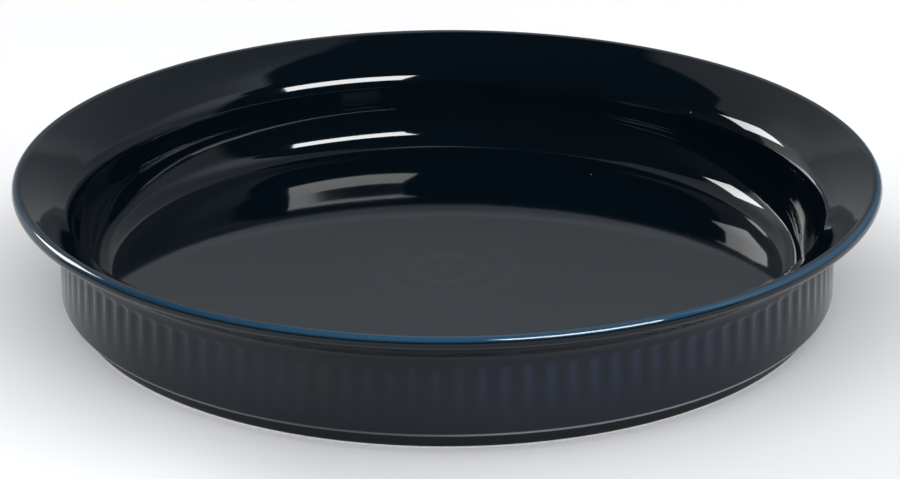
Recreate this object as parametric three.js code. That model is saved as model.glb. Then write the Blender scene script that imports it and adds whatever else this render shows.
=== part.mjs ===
// Fluted ceramic pie plate: a fired clay body under a navy glaze.
// Millimetres, +Z up. The origin is the middle of the foot ring, on the table.
import * as THREE from 'three';

// Overall sizes of the glazed plate, and how far its rim and foot lie from the upright wall
const BODY_DIAMETER = 251;
const HEIGHT = 44.2;
const RIM_OVERHANG = 14.5;
const RIM_WIDTH = 19.4;
const FOOT_INSET = 4.5;

// Section through the plate. The flange rim and the wall of the well are each steeper at one end:
// the rim at its foot, next to the well, and the wall above its foot, next to the floor.
const FLOOR_HEIGHT = 8.6;
const RIM_THICKNESS = 4.4;
const RIM_SLOPE = 30;
const RIM_FOOT_SLOPE = 39;
const WALL_SLOPE = 84;
const WALL_FOOT_SLOPE = 62;
// Share of the well's depth that the foot of its wall rises
const WALL_FOOT_RISE = 0.42;
// Share of the wall foot's length that each of the roundings at its two ends takes
const WALL_FOOT_ROUNDING = 0.48;
const LEDGE_HEIGHT = 6.2;
const LEDGE_SLOPE = 12;
const FOOT_WIDTH = 6.5;
const FOOT_DRAFT = 4;
const BASE_HEIGHT = 3.4;

// Rounding of the section's corners
const SHOULDER_ROUND = 8;
const RIM_CURVE = 55;
const COVE_ROUND = 5;
const LEDGE_ROUND = 1.1;
const FOOT_COVE = 1.4;
const FOOT_ROUND = 1.2;

// Upright flutes pressed into the outer wall
const FLUTE_COUNT = 114;
const FLUTE_DEPTH = 0.8;
const FLUTE_LEAD_IN = 2.2;
const PLAIN_BAND_OVER_FLUTES = 0.5;
const PLAIN_BAND_UNDER_FLUTES = 3.5;

// Glaze: its thickness, where it was wiped off the foot, and the clearance to the clay
const GLAZE_THICKNESS = 0.5;
const GLAZE_LINE = 1.7;
const GLAZE_CLEARANCE = 0.05;

// Facets round the plate and across one flute, and how far a facet may leave a rounded corner
const FACETS_ROUND = 44;
const FLUTE_FACETS = 4;
const FLUTE_FACETS_UNDER_GLAZE = 2;
const CHORD_ERROR = 0.12;
const CHORD_ERROR_UNDER_GLAZE = 0.2;
const SAME_RING = 1e-6;

const NAVY_GLAZE = { color: 0x0a1420, roughness: 0.12, metalness: 0 };
const FIRED_CLAY = { color: 0xe9e4d8, roughness: 0.85, metalness: 0 };

const radians = THREE.MathUtils.degToRad;

// An edge of the section is a straight line: a point on it and its heading in degrees.
// Walking along the heading, the plate's material lies on the right.
const edge = (r, z, heading) => ({
  point: new THREE.Vector2(r, z),
  along: new THREE.Vector2(Math.cos(radians(heading)), Math.sin(radians(heading))),
});

function meet(a, b) {
  const gap = b.point.clone().sub(a.point);
  const reach = gap.cross(b.along) / a.along.cross(b.along);
  return a.point.clone().addScaledVector(a.along, reach);
}

const level = (z) => edge(0, z, 0);
const upright = (r) => edge(r, 0, 90);

const bodyRadius = BODY_DIAMETER / 2;
const rimRadius = bodyRadius + RIM_OVERHANG;
const wellRadius = rimRadius - RIM_WIDTH;
const footRadius = bodyRadius - FOOT_INSET;
const lipRadius = RIM_THICKNESS / 2;

// Middle of the rounded lip
const lip = new THREE.Vector2(rimRadius - lipRadius, HEIGHT - lipRadius);
const rimAcross = new THREE.Vector2(-Math.sin(radians(RIM_SLOPE)), Math.cos(radians(RIM_SLOPE)));
const rimTop = lip.clone().addScaledVector(rimAcross, lipRadius);
const rimUnder = lip.clone().addScaledVector(rimAcross, -lipRadius);
const lipEnd = lip.clone().add(new THREE.Vector2(rimAcross.y, -rimAcross.x).multiplyScalar(lipRadius));

// The flange rim bends halfway across, and the wall of the well at the top of its foot
const rimEdge = edge(rimTop.x, rimTop.y, RIM_SLOPE);
const rimBend = meet(rimEdge, upright(rimRadius - RIM_WIDTH / 2));
const rimFoot = edge(rimBend.x, rimBend.y, RIM_FOOT_SLOPE);
const wellEdge = meet(rimFoot, upright(wellRadius));
const wall = edge(wellEdge.x, wellEdge.y, WALL_SLOPE);
const wallFootRise = WALL_FOOT_RISE * (wellEdge.y - FLOOR_HEIGHT);
const wallBend = meet(wall, level(FLOOR_HEIGHT + wallFootRise));

// Radius of a rounding that takes its share of the wall foot where the section turns by an angle
function wallFootRounding(turn) {
  const reach = WALL_FOOT_ROUNDING * wallFootRise / Math.sin(radians(WALL_FOOT_SLOPE));
  return reach / Math.tan(radians(turn) / 2);
}

// The section's edges in order, from the floor's middle over the rim to the underside
const EDGES = [
  level(FLOOR_HEIGHT),
  edge(wallBend.x, wallBend.y, WALL_FOOT_SLOPE),
  wall,
  rimFoot,
  rimEdge,
  edge(lipEnd.x, lipEnd.y, RIM_SLOPE - 90),
  edge(rimUnder.x, rimUnder.y, RIM_SLOPE - 180),
  edge(bodyRadius, LEDGE_HEIGHT, -90),
  edge(bodyRadius, LEDGE_HEIGHT, 180 + LEDGE_SLOPE),
  edge(footRadius, 0, -90 - FOOT_DRAFT),
  edge(footRadius, 0, 180),
  edge(footRadius - FOOT_WIDTH, 0, 90 + FOOT_DRAFT),
  edge(0, BASE_HEIGHT, 180),
];
const [
  FLOOR, , , , , , RIM_UNDERSIDE, OUTER_WALL, , FOOT_OUTSIDE, FOOT_SOLE, FOOT_INSIDE, BASE,
] = EDGES.keys();

// Rounding of the corner that follows each edge. A hollow corner is marked as such.
const CORNERS = [
  { round: wallFootRounding(WALL_FOOT_SLOPE), hollow: true },
  { round: wallFootRounding(WALL_SLOPE - WALL_FOOT_SLOPE), hollow: true },
  { round: SHOULDER_ROUND },
  { round: RIM_CURVE },
  { round: lipRadius },
  { round: lipRadius },
  { round: COVE_ROUND, hollow: true },
  { round: LEDGE_ROUND },
  { round: FOOT_COVE, hollow: true },
  { round: FOOT_ROUND },
  { round: FOOT_ROUND },
  { round: FOOT_COVE, hollow: true },
];

// The edge moved into the material by a depth
function sunk(line, depth) {
  const inward = new THREE.Vector2(line.along.y, -line.along.x);
  return { point: line.point.clone().addScaledVector(inward, depth), along: line.along };
}

// Points of one rounded corner between two edges
function corner(a, b, round, chordError) {
  const tip = meet(a, b);
  const turn = Math.atan2(a.along.cross(b.along), a.along.dot(b.along));
  const setback = round * Math.tan(Math.abs(turn) / 2);
  const start = tip.clone().addScaledVector(a.along, -setback);
  const side = Math.sign(turn);
  const centre = start.clone().add(new THREE.Vector2(-a.along.y, a.along.x).multiplyScalar(side * round));
  const facetTurn = 2 * Math.acos(1 - chordError / round);
  const steps = Math.ceil(Math.abs(turn) / facetTurn);
  const points = [];
  for (let i = 0; i <= steps; i += 1) {
    points.push(start.clone().rotateAround(centre, (turn * i) / steps));
  }
  return points;
}

// A surface that lies a depth under the finished plate's.
// The sole of the foot is bare clay, so it stays where the plate stands.
function layer(depth, chordError, fluteFacets) {
  const lines = EDGES.map((line, i) => sunk(line, i === FOOT_SOLE ? 0 : depth));
  const roundAt = (i) => CORNERS[i].round + (CORNERS[i].hollow ? depth : -depth);
  return { lines, fluteFacets, corner: (i) => corner(lines[i], lines[i + 1], roundAt(i), chordError) };
}

const plain = (point) => ({ r: point.x, z: point.y, count: FACETS_ROUND });
const onAxis = (levelEdge) => ({ r: 0, z: levelEdge.point.y, count: 1 });

// The lip's two rounded corners meet in one ring, which counts once
const apart = (a, b) => Math.hypot(a.r - b.r, a.z - b.z) > SAME_RING;

// Rings of the outer wall where the flutes start, where they are deepest, and where they have run out
function flutedWall(surface) {
  const ring = { r: surface.lines[OUTER_WALL].point.x, count: FLUTE_COUNT * surface.fluteFacets };
  return [
    { ...ring, z: fluteTop },
    { ...ring, z: fluteTop - FLUTE_LEAD_IN, cut: FLUTE_DEPTH },
    { ...ring, z: fluteBottom },
  ];
}

// Rings of a surface from the floor's middle over the rim and down to the foot's outside
function overRim(surface) {
  const rings = [onAxis(surface.lines[FLOOR])];
  for (let i = FLOOR; i < FOOT_OUTSIDE; i += 1) {
    if (i === OUTER_WALL) {
      rings.push(...flutedWall(surface));
    }
    rings.push(...surface.corner(i).map(plain));
  }
  return rings.filter((ring, i) => i === 0 || apart(ring, rings[i - 1]));
}

// Rings of a surface from the foot's inside to the middle of the underside
function underBase(surface) {
  const rings = surface.corner(FOOT_INSIDE).map(plain);
  rings.push(onAxis(surface.lines[BASE]));
  return rings;
}

// Where a surface of the foot meets the line at which the glaze was wiped off
function atGlazeLine(surface, side) {
  return plain(meet(surface.lines[side], level(GLAZE_LINE)));
}

function ringPoints(ring) {
  const points = [];
  for (let i = 0; i < ring.count; i += 1) {
    const angle = (2 * Math.PI * i) / ring.count;
    const wave = (1 - Math.cos(angle * FLUTE_COUNT)) / 2;
    const r = ring.r - (ring.cut ?? 0) * wave;
    points.push(r * Math.cos(angle), r * Math.sin(angle), ring.z);
  }
  return points;
}

// Stitches two neighbouring rings. Each side of a ring goes to the nearest point of the other ring,
// and the diagonals lie the same way whichever ring comes first, so that layers keep their distance.
function stitch(indices, a, b) {
  const stepsA = a.count > 1 ? a.count : 0;
  const stepsB = b.count > 1 ? b.count : 0;
  let i = 0;
  let j = 0;
  while (i < stepsA || j < stepsB) {
    const onA = a.first + (i % a.count);
    const onB = b.first + (j % b.count);
    const lead = (2 * i + 1) * stepsB - (2 * j + 1) * stepsA;
    const order = stepsA - stepsB || a.z - b.z;
    const nearerA = lead < 0 || (lead === 0 && order > 0);
    if (j === stepsB || (i < stepsA && nearerA)) {
      i += 1;
      indices.push(onA, onB, a.first + (i % a.count));
    } else {
      j += 1;
      indices.push(onA, onB, b.first + (j % b.count));
    }
  }
}

// A closed solid of revolution from its rings, which start and end on the axis
function revolve(rings) {
  const positions = [];
  const indices = [];
  let first = 0;
  for (const ring of rings) {
    ring.first = first;
    positions.push(...ringPoints(ring));
    first += ring.count;
  }
  rings.slice(1).forEach((ring, i) => stitch(indices, rings[i], ring));
  const geometry = new THREE.BufferGeometry();
  geometry.setAttribute('position', new THREE.Float32BufferAttribute(positions, 3));
  geometry.setIndex(indices);
  geometry.computeVertexNormals();
  return geometry;
}

function piece(name, rings, finish) {
  const mesh = new THREE.Mesh(revolve(rings), new THREE.MeshStandardMaterial(finish));
  mesh.name = name;
  return mesh;
}

const finished = layer(0, CHORD_ERROR, FLUTE_FACETS);
const glazeBack = layer(GLAZE_THICKNESS, CHORD_ERROR_UNDER_GLAZE, FLUTE_FACETS_UNDER_GLAZE);
const clayDepth = GLAZE_THICKNESS + GLAZE_CLEARANCE;
const clay = layer(clayDepth, CHORD_ERROR_UNDER_GLAZE, FLUTE_FACETS_UNDER_GLAZE);

// The flutes run from the cove under the rim down to the ledge over the foot
const fluteTop = finished.corner(RIM_UNDERSIDE).at(-1).y - PLAIN_BAND_OVER_FLUTES;
const fluteBottom = finished.corner(OUTER_WALL)[0].y + PLAIN_BAND_UNDER_FLUTES;

// One coat of glaze over the inside, the rim, the fluted wall and the outside of the foot
function navyGlazeCoat() {
  const outside = [...overRim(finished), atGlazeLine(finished, FOOT_OUTSIDE)];
  const back = [...overRim(glazeBack), atGlazeLine(glazeBack, FOOT_OUTSIDE)];
  return piece('navy_glaze_coat', [...outside, ...back.reverse()], NAVY_GLAZE);
}

// The glaze inside the foot ring, under the base
function baseGlaze() {
  const outside = [atGlazeLine(finished, FOOT_INSIDE), ...underBase(finished)];
  const back = [atGlazeLine(glazeBack, FOOT_INSIDE), ...underBase(glazeBack)];
  return piece('base_glaze', [...back.reverse(), ...outside], NAVY_GLAZE);
}

// The clay body with its bare foot ring
function clayBody() {
  const sole = [FOOT_OUTSIDE, FOOT_SOLE].flatMap((i) => clay.corner(i).map(plain));
  return piece('clay_body', [...overRim(clay), ...sole, ...underBase(clay)], FIRED_CLAY);
}

const piePlate = new THREE.Group();
piePlate.name = 'pie_plate';
piePlate.add(clayBody(), navyGlazeCoat(), baseGlaze());

export default piePlate;
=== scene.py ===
"""Fluted pie plate in a dark navy glaze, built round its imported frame. Metres, +Z up."""
import math

import bmesh
import bpy
from mathutils import Matrix, Vector


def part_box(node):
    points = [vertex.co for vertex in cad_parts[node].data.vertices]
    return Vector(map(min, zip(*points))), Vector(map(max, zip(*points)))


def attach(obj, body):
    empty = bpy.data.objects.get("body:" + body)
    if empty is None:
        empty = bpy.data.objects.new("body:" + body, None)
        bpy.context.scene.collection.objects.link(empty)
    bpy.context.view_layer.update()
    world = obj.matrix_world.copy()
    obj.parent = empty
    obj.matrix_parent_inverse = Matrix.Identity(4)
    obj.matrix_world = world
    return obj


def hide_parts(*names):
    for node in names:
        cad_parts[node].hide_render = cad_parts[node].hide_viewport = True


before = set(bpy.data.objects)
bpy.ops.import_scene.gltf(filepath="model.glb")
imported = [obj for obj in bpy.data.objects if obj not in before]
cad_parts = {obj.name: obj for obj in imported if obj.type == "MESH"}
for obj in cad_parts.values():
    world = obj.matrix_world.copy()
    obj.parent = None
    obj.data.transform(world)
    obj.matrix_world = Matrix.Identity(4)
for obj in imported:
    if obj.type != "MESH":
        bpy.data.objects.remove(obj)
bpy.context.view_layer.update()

bl_info = {
    "name": "Fluted pie plate",
    "version": (1, 0, 0),
    "blender": (4, 5, 0),
    "location": "3D View > Sidebar > Pie plate",
    "description": "Models a glazed ceramic pie plate and its studio table",
    "category": "Add Mesh",
}

MM = 0.001
COAT_LOW, COAT_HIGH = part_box("navy_glaze_coat")

# Points nearer than this are one point
MERGE_DISTANCE = 0.002 * MM
# Distance of the points that hold a straight beside a rounding
SUPPORT = 0.6 * MM
# Steps round one flute
SPIN_STEPS = 4
# The foot was wiped this far below the coat's modelled edge
WIPED_LOWER = 0.45 * MM

# The photograph's width in pixels, and the sensor width in millimetres that the lens is given for
IMAGE_WIDTH = 900
SENSOR_WIDTH = 36.0


def length(name, description, default):
    return bpy.props.FloatProperty(name=name, description=description, default=default,
                                   unit="LENGTH", subtype="DISTANCE", precision=5)


def angle(name, description, degrees):
    return bpy.props.FloatProperty(name=name, description=description,
                                   default=math.radians(degrees), unit="ROTATION", subtype="ANGLE")


def colour(name, description, default):
    return bpy.props.FloatVectorProperty(name=name, description=description, default=default,
                                         size=3, min=0, max=1, subtype="COLOR")


def share(name, description, default):
    return bpy.props.FloatProperty(name=name, description=description, default=default,
                                   min=0, max=1, subtype="FACTOR")


class PlateSection(bpy.types.PropertyGroup):
    """Sizes of the turned section and of the flutes pressed into its wall"""

    rim_radius: length("Rim radius", "Axis to the outside of the lip", COAT_HIGH.x)
    height: length("Height", "Table to the top of the lip", COAT_HIGH.z)
    rim_overhang: length("Rim overhang", "Lip beyond the upright wall", 14.5 * MM)
    rim_width: length("Rim width", "Lip to the edge of the well", 19.4 * MM)
    foot_inset: length("Foot inset", "Foot ring behind the upright wall", 4.5 * MM)
    floor_height: length("Floor height", "Table to the floor of the well", 8.6 * MM)
    rim_thickness: length("Rim thickness", "Thickness of the flange rim", 4.4 * MM)
    rim_slope: angle("Rim slope", "Rise of the flange rim next to the lip", 30)
    rim_foot_slope: angle("Rim foot slope", "Rise of the flange rim next to the well", 39)
    wall_slope: angle("Wall slope", "Rise of the well's wall", 84)
    wall_foot_slope: angle("Wall foot slope", "Rise of the wall next to the floor", 62)
    wall_foot_rise: share("Wall foot rise", "Share of the well's depth that its wall's foot rises", 0.42)
    wall_foot_rounding: share("Wall foot rounding", "Share of the wall's foot in each rounding", 0.48)
    ledge_height: length("Ledge height", "Table to the ledge under the flutes", 6.2 * MM)
    ledge_slope: angle("Ledge slope", "Fall of the ledge's underside", 12)
    foot_width: length("Foot width", "Width of the foot ring's sole", 6.5 * MM)
    foot_draft: angle("Foot draft", "Lean of the foot ring's sides", 4)
    base_height: length("Base height", "Table to the underside", 3.4 * MM)
    shoulder_round: length("Shoulder round", "Rounding between wall and rim", 8 * MM)
    rim_curve: length("Rim curve", "Rounding within the flange rim", 55 * MM)
    cove_round: length("Cove round", "Hollow rounding under the rim", 5 * MM)
    ledge_round: length("Ledge round", "Rounding of the ledge's edge", 1.1 * MM)
    foot_cove: length("Foot cove", "Hollow rounding above the foot", 1.4 * MM)
    foot_round: length("Foot round", "Rounding of the foot's edges", 1.2 * MM)
    flute_count: bpy.props.IntProperty(name="Flutes", description="Flutes round the wall", default=114)
    flute_depth: length("Flute depth", "Depth of a flute below its crests", 0.8 * MM)
    flute_lead_in: length("Flute lead-in", "Height in which a flute gets deep", 2.2 * MM)
    band_over: length("Band over flutes", "Plain wall above the flutes", 0.5 * MM)
    band_under: length("Band under flutes", "Plain wall below the flutes", 3.5 * MM)
    glaze: length("Glaze thickness", "Thickness of the fired glaze", 0.5 * MM)
    glaze_line: length("Glaze line", "Height at which the foot was wiped bare",
                       COAT_LOW.z - WIPED_LOWER)
    clearance: length("Clearance", "Gap between glaze and clay", 0.05 * MM)


class GlazeLook(bpy.types.PropertyGroup):
    """Colours of the glaze and of the bare clay"""

    pool: colour("Thick glaze", "Navy where the glaze lies thick", (0.0013, 0.0038, 0.0066))
    thin: colour("Thin glaze", "Blue where the glaze breaks over an edge", (0.017, 0.056, 0.104))
    # The wall colour marks thinner glaze in clouds and is also laid on the front right as painted light.
    wall: colour("Wall", "Navy where the glaze has run thinner on the outer wall", (0.006, 0.01, 0.021))
    crest: colour("Flute crests", "Blue-grey on the crests of the flutes", (0.011, 0.019, 0.04))
    # The ledge colour is a painted highlight: the pale table mirrored in the ledge's sharp edge.
    ledge: colour("Ledge", "Grey where the glaze thins over the ledge's edge", (0.2, 0.22, 0.225))
    swirl: colour("Swirl", "Rings left by turning in the middle of the floor", (0.008, 0.012, 0.015))
    speck: colour("Pinholes", "Pale specks in the glaze", (0.2, 0.22, 0.25))
    clay: colour("Bare clay", "Fired clay of the foot ring", (0.86, 0.85, 0.83))
    gloss: share("Gloss", "Roughness of the glaze", 0.05)
    ior: bpy.props.FloatProperty(name="IOR", description="Refraction of the glaze", default=1.36)
    ripple: share("Ripple", "Strength of the glaze's uneven surface", 0.06)
    grain: share("Grain", "Strength of the bare clay's grain", 0.3)
    matt: share("Matt clay", "Roughness of the bare clay", 0.85)


class StudioLook(bpy.types.PropertyGroup):
    """The table, the lamps and the camera"""

    # Near the plate the table's tones are painted light and shade: this darker front right, a paler left
    # and a paler back.
    table: colour("Table", "Pale table top", (0.75, 0.76, 0.79))
    table_lit_left: colour("Table, left", "Table top on the left", (0.88, 0.89, 0.93))
    table_backlit: colour("Table, back", "Table top behind the plate", (0.96, 0.965, 0.985))
    table_size: length("Table size", "Side of the table top", 8.0)
    near_table: length("Near table", "Radius past which the table fades to white", 360 * MM)
    far_table: length("Far table", "Radius at which the table is white", 1000 * MM)
    soft_light: bpy.props.FloatProperty(name="Soft light", description="Even light from all round",
                                        default=0.62)
    camera_distance: length("Camera distance", "Camera to the aim point", 1200 * MM)
    camera_height: angle("Camera elevation", "Camera above the table", 21.87)
    camera_roll: angle("Camera roll", "Tilt of the picture", -0.14)
    aim_side: length("Aim, sideways", "Aim point right of the axis", 0.93 * MM)
    aim_height: length("Aim, height", "Aim point above the table", 18.84 * MM)
    focal_pixels: bpy.props.FloatProperty(name="Focal length", description="In pixels of the picture",
                                          default=3685.5)


class Edge:
    """A straight edge of the section: a point on it and its heading, the material on its right."""

    def __init__(self, r, z, heading):
        self.point = Vector((r, z))
        self.along = Vector((math.cos(heading), math.sin(heading)))

    def sunk(self, depth):
        """The same edge, moved into the material by a depth."""
        moved = Edge(0, 0, 0)
        moved.along = self.along
        moved.point = self.point + depth * Vector((self.along.y, -self.along.x))
        return moved


def cross(a, b):
    return a.x * b.y - a.y * b.x


def meet(a, b):
    reach = cross(b.point - a.point, b.along) / cross(a.along, b.along)
    return a.point + reach * a.along


# The section's edges in order, and the corner after each edge
(FLOOR, WALL_FOOT, WELL_WALL, RIM_FOOT, RIM_TOP, LIP, RIM_UNDERSIDE, OUTER_WALL,
 LEDGE, FOOT_OUTSIDE, FOOT_SOLE, FOOT_INSIDE, BASE) = range(13)
HOLLOW_CORNERS = (FLOOR, WALL_FOOT, RIM_UNDERSIDE, LEDGE, FOOT_INSIDE)


def section_edges(s):
    """The finished plate's section, from the floor's middle over the rim to the underside."""
    quarter = math.pi / 2
    body_radius = s.rim_radius - s.rim_overhang
    well_radius = s.rim_radius - s.rim_width
    foot_radius = body_radius - s.foot_inset
    lip_round = s.rim_thickness / 2
    lip = Vector((s.rim_radius - lip_round, s.height - lip_round))
    outward = Vector((math.cos(s.rim_slope), math.sin(s.rim_slope)))
    across = Vector((-outward.y, outward.x))
    top = lip + lip_round * across
    end = lip + lip_round * outward
    under = lip - lip_round * across
    rim_top = Edge(top.x, top.y, s.rim_slope)
    rim_middle = meet(rim_top, Edge(s.rim_radius - s.rim_width / 2, 0, quarter))
    rim_foot = Edge(rim_middle.x, rim_middle.y, s.rim_foot_slope)
    well_edge = meet(rim_foot, Edge(well_radius, 0, quarter))
    wall = Edge(well_radius, well_edge.y, s.wall_slope)
    foot_rise = s.wall_foot_rise * (well_edge.y - s.floor_height)
    wall_foot = meet(wall, Edge(0, s.floor_height + foot_rise, 0))
    return [
        Edge(0, s.floor_height, 0),
        Edge(wall_foot.x, wall_foot.y, s.wall_foot_slope),
        wall,
        rim_foot,
        rim_top,
        Edge(end.x, end.y, s.rim_slope - quarter),
        Edge(under.x, under.y, s.rim_slope + math.pi),
        Edge(body_radius, s.ledge_height, -quarter),
        Edge(body_radius, s.ledge_height, math.pi + s.ledge_slope),
        Edge(foot_radius, 0, -quarter - s.foot_draft),
        Edge(foot_radius, 0, math.pi),
        Edge(foot_radius - s.foot_width, 0, quarter + s.foot_draft),
        Edge(0, s.base_height, math.pi),
    ]


def section_rounds(s, edges):
    """Rounding of the corner after each edge. Those at the wall's foot take a share of its length."""
    foot = meet(edges[WALL_FOOT], edges[WELL_WALL]) - meet(edges[FLOOR], edges[WALL_FOOT])
    reach = s.wall_foot_rounding * foot.length
    floor_fillet = reach / math.tan(s.wall_foot_slope / 2)
    wall_curve = reach / math.tan((s.wall_slope - s.wall_foot_slope) / 2)
    lip_round = s.rim_thickness / 2
    return (floor_fillet, wall_curve, s.shoulder_round, s.rim_curve, lip_round, lip_round,
            s.cove_round, s.ledge_round, s.foot_cove, s.foot_round, s.foot_round, s.foot_cove)


class Layer:
    """A surface that lies a depth under the finished plate's. The bare sole stays on the table."""

    def __init__(self, s, depth):
        edges = section_edges(s)
        rounds = section_rounds(s, edges)
        self.edges = [edge.sunk(0 if i == FOOT_SOLE else depth) for i, edge in enumerate(edges)]
        self.rounds = [r + depth if i in HOLLOW_CORNERS else r - depth for i, r in enumerate(rounds)]
        self.section = s

    def corner(self, i):
        return meet(self.edges[i], self.edges[i + 1])

    def setback(self, i):
        """How far from the corner its rounding starts."""
        turn = self.edges[i].along.angle(self.edges[i + 1].along)
        return self.rounds[i] * math.tan(turn / 2)

    def at_height(self, i, z):
        return meet(self.edges[i], Edge(0, z, 0))


def flute_span(s):
    """Heights at which the flutes start and have run out."""
    finished = Layer(s, 0)
    cove_end = finished.corner(RIM_UNDERSIDE).y - finished.setback(RIM_UNDERSIDE)
    ledge_start = finished.corner(OUTER_WALL).y + finished.setback(OUTER_WALL)
    return cove_end - s.band_over, ledge_start + s.band_under


def smooth(x):
    x = min(max(x, 0.0), 1.0)
    return x * x * (3 - 2 * x)


def flute_share(s, z):
    """Share of the full depth at a height: a short lead-in on top and a long run-out below."""
    top, bottom = flute_span(s)
    deepest = top - s.flute_lead_in
    if z > deepest:
        return smooth((top - z) / s.flute_lead_in)
    return max(0.0, (z - bottom) / (deepest - bottom))


class Finish:
    """How finely a surface is divided: along its roundings and up its flutes, and if it shows."""

    def __init__(self, roundings, others, rows, shows):
        self.roundings = roundings
        self.others = others
        self.rows = rows
        self.shows = shows

    def segments(self, i):
        return self.roundings.get(i, self.others)


SHOWN = Finish(roundings={FLOOR: 22, WALL_FOOT: 14, WELL_WALL: 18, RIM_FOOT: 5},
               others=6, rows=12, shows=True)
COVERED = Finish(roundings={FLOOR: 5, WELL_WALL: 4}, others=3, rows=4, shows=False)


class Outline:
    """The outline of one piece: its corners, the roundings there, and points along its straights."""

    def __init__(self, start, finish):
        self.places = [start]
        self.rounded = []
        self.finish = finish

    def straight_to(self, end, setback, next_setback):
        """Goes to the next corner. A shown surface gets a point after and before its roundings."""
        begin = self.places[-1]
        run = end - begin
        ahead = run.normalized()
        first = setback + SUPPORT
        last = run.length - next_setback - SUPPORT
        if self.finish.shows and last - first > SUPPORT:
            self.places += [begin + first * ahead, begin + last * ahead]
        self.places.append(end)

    def follow(self, layer, corners, end):
        """Follows a layer over its corners to an end point, with rows of points on the fluted wall."""
        back = 0.0
        for i in corners:
            if i == OUTER_WALL:
                self.add_rows(layer)
                back = 0.0
            setback = layer.setback(i)
            self.straight_to(layer.corner(i), back, setback)
            self.rounded.append((layer.corner(i), setback, self.finish.segments(i)))
            back = setback
        self.straight_to(end, back, 0.0)

    def add_rows(self, layer):
        """Rows up the flutes: close together in the lead-in, and even below it."""
        top, bottom = flute_span(layer.section)
        deepest = top - layer.section.flute_lead_in
        lead_in = self.finish.rows // 3
        run_out = self.finish.rows - lead_in
        heights = [top + SUPPORT / 2]
        heights += [top + (deepest - top) * k / lead_in for k in range(lead_in)]
        heights += [deepest + (bottom - deepest) * k / run_out for k in range(run_out + 1)]
        self.places += [layer.at_height(OUTER_WALL, z) for z in heights]

    def back(self, other):
        """Goes back along another outline."""
        self.places += other.places[::-1]
        self.rounded += other.rounded


def deselect_everything():
    if bpy.context.object and bpy.context.object.mode != "OBJECT":
        bpy.ops.object.mode_set(mode="OBJECT")
    bpy.ops.object.select_all(action="DESELECT")


def select_at(obj, place):
    """Selects the one vertex of the mesh in edit mode that lies at a place."""
    mesh = bmesh.from_edit_mesh(obj.data)
    for vertex in mesh.verts:
        vertex.select = False
    nearest = min(mesh.verts, key=lambda v: (v.co - place).length)
    if (nearest.co - place).length > MERGE_DISTANCE:
        raise RuntimeError(f"{obj.name} has no point at {tuple(place)}")
    nearest.select = True
    mesh.select_flush_mode()
    bmesh.update_edit_mesh(obj.data)


def draw_outline(name, outline, azimuth):
    """Draws an outline from a single vertex by extruding it from place to place, then rounds it."""
    def upright(place):
        return Vector((place.x * math.cos(azimuth), place.x * math.sin(azimuth), place.y))

    places = [upright(place) for place in outline.places]
    deselect_everything()
    bpy.ops.mesh.primitive_plane_add(size=MM)
    obj = bpy.context.object
    obj.name = obj.data.name = name
    bpy.ops.object.mode_set(mode="EDIT")
    bpy.ops.mesh.select_mode(type="VERT")
    bpy.ops.mesh.merge(type="CENTER")
    bpy.ops.transform.translate(value=places[0])
    for start, end in zip(places, places[1:]):
        bpy.ops.mesh.extrude_region_move(TRANSFORM_OT_translate={"value": end - start})
    for place, setback, segments in outline.rounded:
        select_at(obj, upright(place))
        bpy.ops.mesh.bevel(affect="VERTICES", offset=setback, segments=segments, profile=0.5)
    return obj


def merge_and_close(obj):
    bpy.ops.object.mode_set(mode="EDIT")
    bpy.ops.mesh.select_all(action="SELECT")
    bpy.ops.mesh.remove_doubles(threshold=MERGE_DISTANCE)
    bpy.ops.mesh.normals_make_consistent(inside=False)
    bpy.ops.mesh.select_all(action="DESELECT")
    bpy.ops.mesh.select_non_manifold()
    bpy.ops.object.mode_set(mode="OBJECT")
    if any(vertex.select for vertex in obj.data.vertices):
        raise RuntimeError(f"{obj.name} is not closed")


def press_flutes(obj, s, wall_radius):
    """Presses the slice's one flute into its wall, deepest in the middle of the slice."""
    group = obj.vertex_groups.new(name="flute")
    pitch = 2 * math.pi / s.flute_count
    top, bottom = flute_span(s)
    for vertex in obj.data.vertices:
        x, y, z = vertex.co
        if bottom < z < top and abs(math.hypot(x, y) - wall_radius) < SUPPORT:
            wave = (1 + math.cos(2 * math.pi * math.atan2(y, x) / pitch)) / 2
            group.add([vertex.index], wave * flute_share(s, z), "REPLACE")
    press = obj.modifiers.new("Press the flute", "DISPLACE")
    press.direction = "X"
    press.mid_level = 0.0
    press.strength = -s.flute_depth
    press.vertex_group = group.name
    bpy.ops.object.modifier_apply(modifier=press.name)
    obj.vertex_groups.clear()


def repeat_round(obj, count):
    """Repeats the slice round the axis."""
    turn = bpy.data.objects.new("One flute's turn", None)
    bpy.context.collection.objects.link(turn)
    turn.rotation_euler.z = 2 * math.pi / count
    bpy.context.view_layer.update()
    ring = obj.modifiers.new("All round", "ARRAY")
    ring.count = count
    ring.use_relative_offset = False
    ring.use_object_offset = True
    ring.offset_object = turn
    bpy.ops.object.modifier_apply(modifier=ring.name)
    bpy.data.objects.remove(turn)


def turned_piece(name, s, outline, wall_radius=None):
    """A closed piece from its outline: one flute's slice is spun, fluted and repeated round the axis."""
    pitch = 2 * math.pi / s.flute_count
    obj = draw_outline(name, outline, -pitch / 2)
    bpy.ops.mesh.select_all(action="SELECT")
    bpy.ops.mesh.spin(steps=SPIN_STEPS, angle=pitch, center=(0, 0, 0), axis=(0, 0, 1))
    bpy.ops.object.mode_set(mode="OBJECT")
    if wall_radius:
        press_flutes(obj, s, wall_radius)
    repeat_round(obj, s.flute_count)
    merge_and_close(obj)
    bpy.ops.object.shade_smooth()
    return obj


# Sockets of the Mix node when it mixes colours
MIX_SHARE, MIX_FIRST, MIX_SECOND, MIX_RESULT = 0, 6, 7, 2


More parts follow.
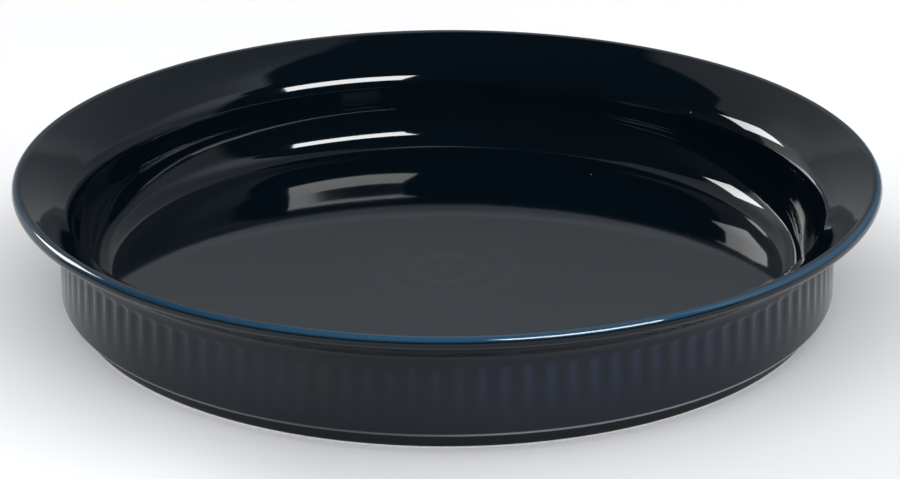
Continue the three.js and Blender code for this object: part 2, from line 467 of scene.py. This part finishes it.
class Link:
    """A shader socket. Sums and products of links and numbers add Math nodes to its tree."""

    def __init__(self, tree, socket=None):
        self.tree = tree
        self.socket = socket

    def node(self, kind, settings=None, sockets=None, output=0):
        """Adds a node, sets it up, fills its sockets and returns one of its outputs."""
        made = self.tree.nodes.new(kind)
        for key, value in (settings or {}).items():
            setattr(made, key, value)
        for key, value in (sockets or {}).items():
            if isinstance(value, Link):
                self.tree.links.new(value.socket, made.inputs[key])
            else:
                made.inputs[key].default_value = value
        return Link(self.tree, made.outputs[output])

    def math(self, operation, *values):
        return self.node("ShaderNodeMath", {"operation": operation}, dict(enumerate(values)))

    def __add__(self, other):
        return self.math("ADD", self, other)

    def __radd__(self, other):
        return self.math("ADD", other, self)

    def __sub__(self, other):
        return self.math("SUBTRACT", self, other)

    def __rsub__(self, other):
        return self.math("SUBTRACT", other, self)

    def __mul__(self, other):
        return self.math("MULTIPLY", self, other)

    def __rmul__(self, other):
        return self.math("MULTIPLY", other, self)

    def ramp(self, low, high):
        """0 below low, 1 above high, smooth between them. The other way round if low is above high."""
        sockets = {"Value": self, "From Min": low, "From Max": high}
        return self.node("ShaderNodeMapRange", {"interpolation_type": "SMOOTHSTEP"}, sockets)

    def mix(self, without, with_all):
        """A colour between two, by this link as the share of the second."""
        sockets = {MIX_SHARE: self, MIX_FIRST: without, MIX_SECOND: with_all}
        return self.node("ShaderNodeMix", {"data_type": "RGBA"}, sockets, MIX_RESULT)

    def parts(self):
        """The three parts of a vector."""
        return [self.node("ShaderNodeSeparateXYZ", None, {"Vector": self}, axis) for axis in "XYZ"]

    def noise(self, place, scale, detail=2.0):
        return self.node("ShaderNodeTexNoise", None, {"Vector": place, "Scale": scale, "Detail": detail})


def opaque(rgb):
    return (*rgb, 1.0)


def new_material(name):
    """A material, a link into its empty tree, and its output node."""
    material = bpy.data.materials.new(name)
    material.use_nodes = True
    tree = material.node_tree
    tree.nodes.clear()
    return material, Link(tree), tree.nodes.new("ShaderNodeOutputMaterial")


class Place:
    """Links to the place on an object: its coordinates and the radius from the plate's axis."""

    def __init__(self, shader):
        self.shader = shader
        self.point = shader.node("ShaderNodeTexCoord", output="Object")
        self.x, self.y, self.z = self.point.parts()
        self.radius = shader.math("SQRT", self.x * self.x + self.y * self.y)

    def wave(self, function, phase):
        """A sine or cosine between 0 and 1."""
        return self.shader.math(function, phase) * 0.5 + 0.5


def lip_edge(at, s):
    """The outer half of the lip's top, where the glaze is thinnest. It pales less on the left, as
    painted shade.
    """
    lip_round = s.rim_thickness / 2
    middle = s.height - lip_round
    over = at.z.ramp(middle + 0.5 * MM, middle + 1.5 * MM)
    outer_half = at.radius.ramp(s.rim_radius - lip_round, s.rim_radius - lip_round / 2)
    # Painted shade: the blue falls to 0.55 of its strength on the left.
    return over * outer_half * (0.55 + 0.45 * at.x.ramp(-110 * MM, -10 * MM))


def outer_wall(at, s):
    """The outside of the wall, below the rim's underside."""
    wall = s.rim_radius - s.rim_overhang
    top = flute_span(s)[0]
    return at.radius.ramp(wall - 2.2 * MM, wall - 1.5 * MM) * at.z.ramp(top + 4 * MM, top + 2 * MM)


def thin_glaze_and_painted_light(at):
    """Share by which the glaze on the wall is thin, in soft clouds, plus painted light that is strongest
    on the front right.
    """
    # Painted light: the front right, where the light falls, is made paler.
    front_right = at.x.ramp(-20 * MM, 45 * MM) * at.x.ramp(125 * MM, 85 * MM) * at.y.ramp(0, -40 * MM)
    clouds = at.shader.noise(at.point, 16.0).ramp(0.2, 0.8)
    return clouds * 0.35 + front_right * 0.65


def flute_crests(at, s):
    """The crests between the flutes, strongest near the top and running out downwards."""
    top = flute_span(s)[0]
    turn = at.shader.math("ARCTAN2", at.y, at.x)
    crest = at.wave("COSINE", turn * s.flute_count)
    start = at.z.ramp(top + 0.5 * MM, top - 1.5 * MM)
    run_out = at.z.ramp(top - 19 * MM, top - 2 * MM)
    return crest * crest * start * run_out


def ledge_painted_highlight(at, s):
    """A painted highlight: a thin pale line along the edge of the ledge."""
    low = s.ledge_height
    return at.z.ramp(low, low + 0.4 * MM) * at.z.ramp(low + 1.1 * MM, low + 0.6 * MM)


def turning_rings(at, s):
    """Faint uneven rings in the middle of the floor."""
    ring_pitch = 11 * MM
    wobble = at.shader.noise(at.point, 25.0) * 3
    ring = at.wave("SINE", at.radius * (2 * math.pi / ring_pitch) + wobble)
    middle = at.radius.ramp(42 * MM, 10 * MM) * at.z.ramp(s.height / 2, s.floor_height)
    return ring * middle


def pinholes(at):
    """Small dots in a few cells of a cell pattern."""
    cells = {"Vector": at.point, "Scale": 55.0}
    dot = at.shader.node("ShaderNodeTexVoronoi", None, cells).ramp(0.022, 0.012)
    chosen = at.shader.node("ShaderNodeTexVoronoi", None, cells, "Color").ramp(0.62, 0.66)
    return dot * chosen


def navy_glaze(look, s):
    """Dark navy glaze that breaks to blue on the lip and the flutes, with a painted highlight on the
    ledge's edge, painted light on the front right of the outer wall and painted shade on the left of the
    lip.
    """
    material, shader, output = new_material("navy_glaze")
    at = Place(shader)
    outside = outer_wall(at, s)
    thin = thin_glaze_and_painted_light(at)
    breaks = (
        # Thin glaze in clouds, with painted light on the front right of the outer wall.
        (thin * outside * 0.6, look.wall),
        # Flute crests where the glaze breaks thin, stronger on the front right as painted light.
        (flute_crests(at, s) * outside * (thin * 0.85 + 0.15), look.crest),
        # Painted highlight along the ledge's edge, stronger on the front right as painted light.
        (ledge_painted_highlight(at, s) * outside * (thin * 0.8 + 0.25), look.ledge),
        # Thin blue on the lip's edge, weaker on the left as painted shade.
        (lip_edge(at, s), look.thin),
        (turning_rings(at, s) * 0.5, look.swirl),
        (pinholes(at), look.speck),
    )
    base = opaque(look.pool)
    for amount, tint in breaks:
        base = amount.mix(base, opaque(tint))
    bump = shader.node("ShaderNodeBump", None, {
        "Strength": look.ripple, "Distance": 0.2 * MM, "Height": shader.noise(at.point, 90.0)})
    glaze = shader.node("ShaderNodeBsdfPrincipled", None, {
        "Base Color": base, "Roughness": look.gloss, "IOR": look.ior, "Normal": bump})
    shader.tree.links.new(glaze.socket, output.inputs["Surface"])
    return material


def bare_clay(look):
    """Fired clay, matt, with a fine grain."""
    material, shader, output = new_material("bare_clay")
    place = shader.node("ShaderNodeTexCoord", output="Object")
    grain = shader.noise(place, 2600.0, 4.0)
    darker = tuple(0.82 * c for c in look.clay)
    base = grain.ramp(0.35, 0.65).mix(opaque(darker), opaque(look.clay))
    bump = shader.node("ShaderNodeBump", None, {
        "Strength": look.grain, "Distance": 0.1 * MM, "Height": grain})
    clay = shader.node("ShaderNodeBsdfPrincipled", None, {
        "Base Color": base, "Roughness": look.matt, "Normal": bump})
    shader.tree.links.new(clay.socket, output.inputs["Surface"])
    return material


def finish_piece(obj, node, material):
    obj.data.materials.append(material)
    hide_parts(node)
    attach(obj, "root")


def over_rim(layer, end_height, finish):
    """Outline from the floor's middle over the rim to a height on the foot's outside."""
    outline = Outline(Vector((0, layer.edges[FLOOR].point.y)), finish)
    end = layer.at_height(FOOT_OUTSIDE, end_height)
    outline.follow(layer, range(FLOOR, FOOT_OUTSIDE), end)
    return outline


def under_base(layer, end_height, finish):
    """Outline from the middle of the underside to a height on the foot's inside."""
    outline = Outline(layer.at_height(FOOT_INSIDE, end_height), finish)
    middle = Vector((0, layer.edges[BASE].point.y))
    outline.follow(layer, [FOOT_INSIDE], middle)
    outline.places.reverse()
    return outline


class PIE_PLATE_OT_clay_body(bpy.types.Operator):
    """Model the clay body with its bare foot ring"""

    bl_idname = "pie_plate.clay_body"
    bl_label = "Clay body"

    def execute(self, context):
        s = context.scene.pie_plate_section
        clay = Layer(s, s.glaze + s.clearance)
        outline = Outline(Vector((0, clay.edges[FLOOR].point.y)), COVERED)
        end = Vector((0, clay.edges[BASE].point.y))
        outline.follow(clay, range(FLOOR, BASE), end)
        wall = clay.edges[OUTER_WALL].point.x
        obj = turned_piece("clay_foot_and_body", s, outline, wall)
        finish_piece(obj, "clay_body", bare_clay(context.scene.pie_plate_glaze))
        return {"FINISHED"}


class PIE_PLATE_OT_glaze_coat(bpy.types.Operator):
    """Model the navy glaze over the inside, the rim, the fluted wall and the foot"""

    bl_idname = "pie_plate.glaze_coat"
    bl_label = "Navy glaze coat"

    def execute(self, context):
        s = context.scene.pie_plate_section
        finished = Layer(s, 0)
        outline = over_rim(finished, s.glaze_line, SHOWN)
        outline.back(over_rim(Layer(s, s.glaze), s.glaze_line, COVERED))
        wall = finished.edges[OUTER_WALL].point.x
        obj = turned_piece("navy_glaze_over_plate", s, outline, wall)
        finish_piece(obj, "navy_glaze_coat", navy_glaze(context.scene.pie_plate_glaze, s))
        return {"FINISHED"}


class PIE_PLATE_OT_base_glaze(bpy.types.Operator):
    """Model the glaze on the underside, inside the foot ring"""

    bl_idname = "pie_plate.base_glaze"
    bl_label = "Glaze under the base"

    def execute(self, context):
        s = context.scene.pie_plate_section
        outline = under_base(Layer(s, 0), s.glaze_line, SHOWN)
        outline.back(under_base(Layer(s, s.glaze), s.glaze_line, COVERED))
        obj = turned_piece("navy_glaze_under_base", s, outline)
        finish_piece(obj, "base_glaze", bpy.data.materials["navy_glaze"])
        return {"FINISHED"}


def table_top(look):
    """A pale matt table with painted light and shade near the plate: darkest on the front right, paler
    on the left and behind. It fades to white far from the plate.
    """
    deselect_everything()
    bpy.ops.mesh.primitive_plane_add(size=look.table_size)
    table = bpy.context.object
    table.name = "table"
    material, shader, output = new_material("table")
    at = Place(shader)
    # Painted shade on the front right, painted light on the left and painted backlight behind the plate.
    front_right = at.x.ramp(-90 * MM, -30 * MM) * at.radius.ramp(look.near_table, 200 * MM)
    back = at.y.ramp(0, 90 * MM) * at.radius.ramp(700 * MM, look.near_table)
    shade = front_right.mix(opaque(look.table_lit_left), opaque(look.table))
    shade = back.mix(shade, opaque(look.table_backlit))
    top = shader.node("ShaderNodeBsdfPrincipled", None, {
        "Base Color": shade, "Roughness": 0.9, "Specular IOR Level": 0.0})
    white = shader.node("ShaderNodeEmission", None, {"Strength": 1.0})
    seen = shader.node("ShaderNodeLightPath", output="Is Camera Ray")
    mirrored = shader.node("ShaderNodeLightPath", output="Is Glossy Ray")
    far = at.radius.ramp(look.near_table, look.far_table) * (seen + mirrored)
    faded = shader.node("ShaderNodeMixShader", None, {0: far, 1: top, 2: white})
    shader.tree.links.new(faded.socket, output.inputs["Surface"])
    table.data.materials.append(material)


def heading(azimuth, elevation):
    """A direction from degrees: azimuth 0 is behind the plate and grows to the right."""
    turn, rise = math.radians(azimuth), math.radians(elevation)
    return Vector((math.sin(turn) * math.cos(rise), math.cos(turn) * math.cos(rise), math.sin(rise)))


def softbox(name, toward, distance, spread, radiance, mirrored, roll=0):
    """A lamp that faces the plate and fills a spread of degrees.

    It is either mirrored in the glaze or lights the scene.
    """
    lamp = bpy.data.lights.new(name, "AREA")
    lamp.shape = "RECTANGLE"
    lamp.size, lamp.size_y = [2 * distance * math.tan(math.radians(part) / 2) for part in spread]
    lamp.energy = radiance * math.pi * lamp.size * lamp.size_y
    obj = bpy.data.objects.new(name, lamp)
    bpy.context.collection.objects.link(obj)
    facing = toward.to_track_quat("Z", "Y").to_matrix().to_4x4()
    rolled = Matrix.Rotation(math.radians(roll), 4, "Z")
    obj.matrix_world = Matrix.Translation(distance * toward) @ facing @ rolled
    obj.visible_glossy = mirrored
    obj.visible_diffuse = not mirrored


class Sky:
    """Ramps over the directions round the plate, in degrees: azimuth as in heading, and elevation."""

    def __init__(self, shader):
        ahead = shader.node("ShaderNodeTexCoord", output="Generated")
        x, y, z = ahead.parts()
        self.azimuth = shader.math("ARCTAN2", x, y)
        self.elevation = shader.math("ARCSINE", z)

    def along(self, start, end):
        return self.azimuth.ramp(math.radians(start), math.radians(end))

    def rise(self, start, end):
        return self.elevation.ramp(math.radians(start), math.radians(end))


def mirrored_room(sky):
    """What the glaze mirrors: a pale panel that bends round the back of the table in a dark room."""
    along, rise = sky.along, sky.rise
    top_edge = 42 + along(-62, -50) * 20 + along(-30, 10) * 12 - along(56, 84) * 12 - along(80, 102) * 18
    below_edge = (top_edge * math.radians(1) - sky.elevation).ramp(-0.02, 0.04)
    reach = along(-66, -63) * along(106, 98) * below_edge
    left_pool = along(0, -40) * 0.07 + along(-30, -48) * rise(42, 24) * 0.5
    right_pool = along(40, 84) * 0.22 + along(62, 90) * rise(20, 40) * 0.62
    back_pool = along(-22, -8) * along(22, 8) * rise(22, 46) * 0.7
    pools = 1.35 * (left_pool + right_pool + back_pool)
    level = 0.27 + rise(20.5, 24) * 0.21 - rise(24, 31) * 0.08
    panel = reach * (level + pools)
    left_wall = along(-130, -70) * along(30, -40) * rise(40, 5) * 0.14
    dark_room = 0.02
    return panel + left_wall + dark_room


def studio_world(look):
    """Even soft light on the scene, the room in the glaze, and white for the camera."""
    world = bpy.data.worlds.new("studio")
    bpy.context.scene.world = world
    world.use_nodes = True
    tree = world.node_tree
    tree.nodes.clear()
    shader = Link(tree)
    sky = Sky(shader)
    mirrored = shader.node("ShaderNodeLightPath", output="Is Glossy Ray")
    seen = shader.node("ShaderNodeLightPath", output="Is Camera Ray")
    unseen = mirrored * mirrored_room(sky) + (1 - mirrored) * look.soft_light
    cooler = (mirrored * sky.along(-70, -10)).mix(opaque((1, 1, 1)), opaque((0.92, 1, 1.07)))
    background = shader.node("ShaderNodeBackground", None, {
        "Color": cooler, "Strength": unseen * (1 - seen) + seen})
    output = tree.nodes.new("ShaderNodeOutputWorld")
    tree.links.new(background.socket, output.inputs["Surface"])


def photo_camera(look):
    lens = bpy.data.cameras.new("camera")
    lens.sensor_width = SENSOR_WIDTH
    lens.lens = look.focal_pixels * SENSOR_WIDTH / IMAGE_WIDTH
    camera = bpy.data.objects.new("camera", lens)
    bpy.context.collection.objects.link(camera)
    back = Vector((0, -math.cos(look.camera_height), math.sin(look.camera_height)))
    aim = Vector((look.aim_side, 0, look.aim_height))
    turn = back.to_track_quat("Z", "Y").to_matrix().to_4x4() @ Matrix.Rotation(look.camera_roll, 4, "Z")
    camera.matrix_world = Matrix.Translation(aim + look.camera_distance * back) @ turn
    bpy.context.scene.camera = camera


class PIE_PLATE_OT_stage(bpy.types.Operator):
    """Set the table, the lamps, the studio and the camera"""

    bl_idname = "pie_plate.stage"
    bl_label = "Table, lamps and camera"

    def execute(self, context):
        look = context.scene.pie_plate_studio
        table_top(look)
        studio_world(look)
        softbox("left_softbox", heading(azimuth=-56, elevation=31), distance=1.3, spread=(20.5, 15.5),
                radiance=19, mirrored=True)
        softbox("front_softbox", heading(azimuth=141, elevation=45.5), distance=1.4, spread=(34, 17),
                radiance=35, mirrored=True, roll=-8)
        softbox("right_light", heading(azimuth=118, elevation=44), distance=1.4, spread=(60, 45),
                radiance=1.5, mirrored=False)
        softbox("front_light", heading(azimuth=-158, elevation=40), distance=1.4, spread=(70, 50),
                radiance=1.7, mirrored=False)
        photo_camera(look)
        context.scene.view_settings.view_transform = "Standard"
        return {"FINISHED"}


class PIE_PLATE_PT_sidebar(bpy.types.Panel):
    """Lists the plate's pieces and its stage"""

    bl_label = "Pie plate"
    bl_space_type = "VIEW_3D"
    bl_region_type = "UI"
    bl_category = "Pie plate"

    def draw(self, context):
        for step in STEPS:
            self.layout.operator(step.bl_idname)


STEPS = (PIE_PLATE_OT_clay_body, PIE_PLATE_OT_glaze_coat, PIE_PLATE_OT_base_glaze, PIE_PLATE_OT_stage)
SETTINGS = {
    "pie_plate_section": PlateSection,
    "pie_plate_glaze": GlazeLook,
    "pie_plate_studio": StudioLook,
}


def register():
    for made in (*SETTINGS.values(), *STEPS, PIE_PLATE_PT_sidebar):
        bpy.utils.register_class(made)
    for name, group in SETTINGS.items():
        setattr(bpy.types.Scene, name, bpy.props.PointerProperty(type=group))


def unregister():
    for name in SETTINGS:
        delattr(bpy.types.Scene, name)
    for made in (PIE_PLATE_PT_sidebar, *STEPS, *SETTINGS.values()):
        bpy.utils.unregister_class(made)


def main():
    register()
    bpy.ops.pie_plate.clay_body()
    bpy.ops.pie_plate.glaze_coat()
    bpy.ops.pie_plate.base_glaze()
    bpy.ops.pie_plate.stage()


if __name__ == "__main__":
    main()
